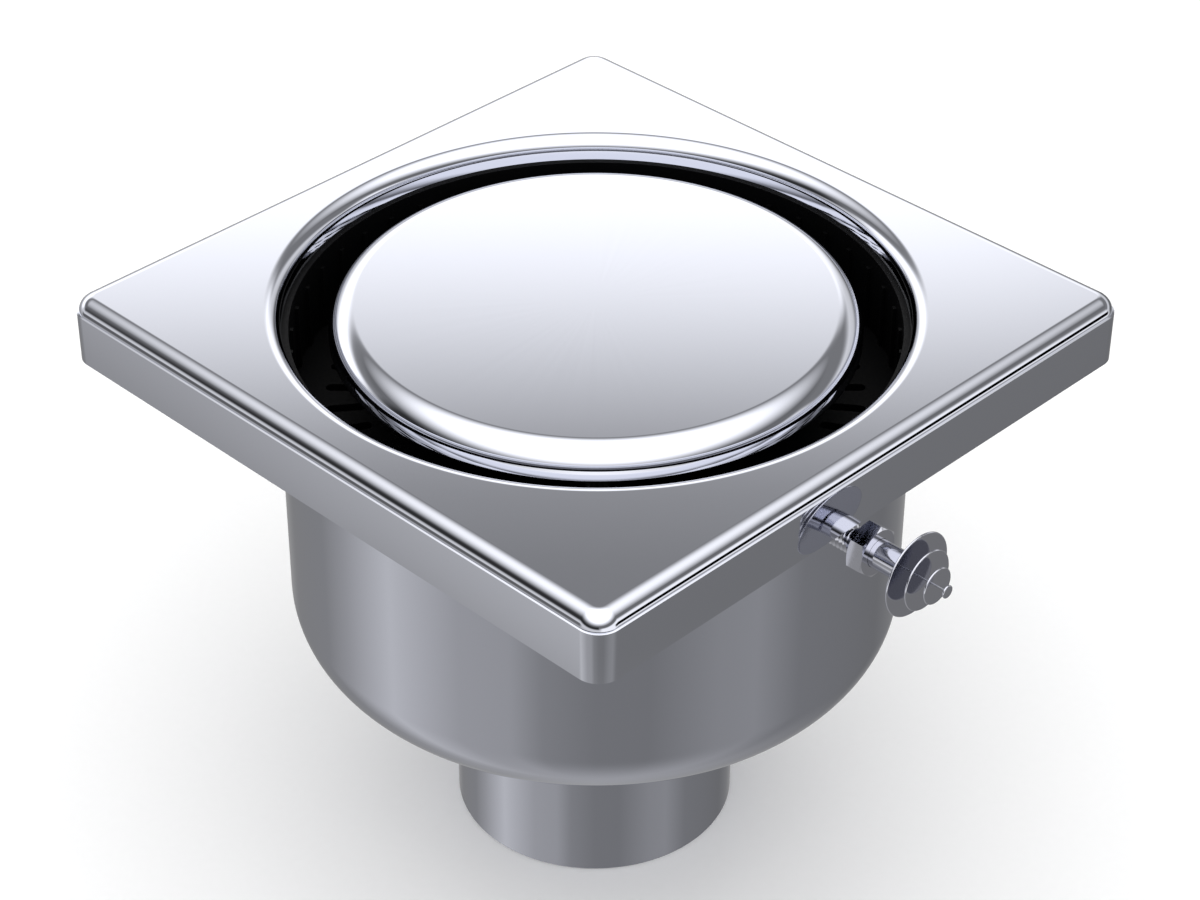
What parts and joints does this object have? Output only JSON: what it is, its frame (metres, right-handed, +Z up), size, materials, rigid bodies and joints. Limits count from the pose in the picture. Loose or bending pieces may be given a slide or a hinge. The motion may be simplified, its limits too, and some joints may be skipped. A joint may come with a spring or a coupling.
{
  "type": "floor drain",
  "caption": "Square stainless floor drain: a flush top plate on a deep pot with a straight-down outlet, a bell trap, a lift-out strainer and a round lid with a ring slot.",
  "frame": {"origin": "on the outlet's axis, at the lower end of the outlet spigot", "axes": "+Z up, out of the floor; +X towards the bonding stud, square to one side of the plate"},
  "size_m": [0.2238, 0.2, 0.17],
  "materials": {
    "polished_steel": "mirror-polished stainless steel",
    "drawn_steel": "bright deep-drawn stainless steel",
    "bright_wire": "drawn stainless steel",
    "stud_steel": "turned and polished stainless steel",
    "black_plastic": "moulded black polypropylene",
    "black_rubber": "moulded rubber"
  },
  "bodies": {
    "root": {"frame_plate": "polished_steel", "lid_plate": "polished_steel", "trap_pot": "drawn_steel", "outlet_pipe": "drawn_steel", "weir_pipe": "drawn_steel", "weir_seal": "black_rubber", "basket_seat_ring": "drawn_steel", "basket_grip": "bright_wire", "strainer_basket": "black_plastic", "trap_bell": "black_plastic", "basket_seal": "black_rubber", "bonding_stud": "stud_steel", "bonding_nut": "stud_steel", "earth_marker": "stud_steel", "lid_leg_1": "bright_wire", "lid_leg_2": "bright_wire", "lid_leg_3": "bright_wire", "lid_leg_4": "bright_wire", "lid_foot_1": "black_rubber", "lid_foot_2": "black_rubber", "lid_foot_3": "black_rubber", "lid_foot_4": "black_rubber"}
  },
  "joints": []
}
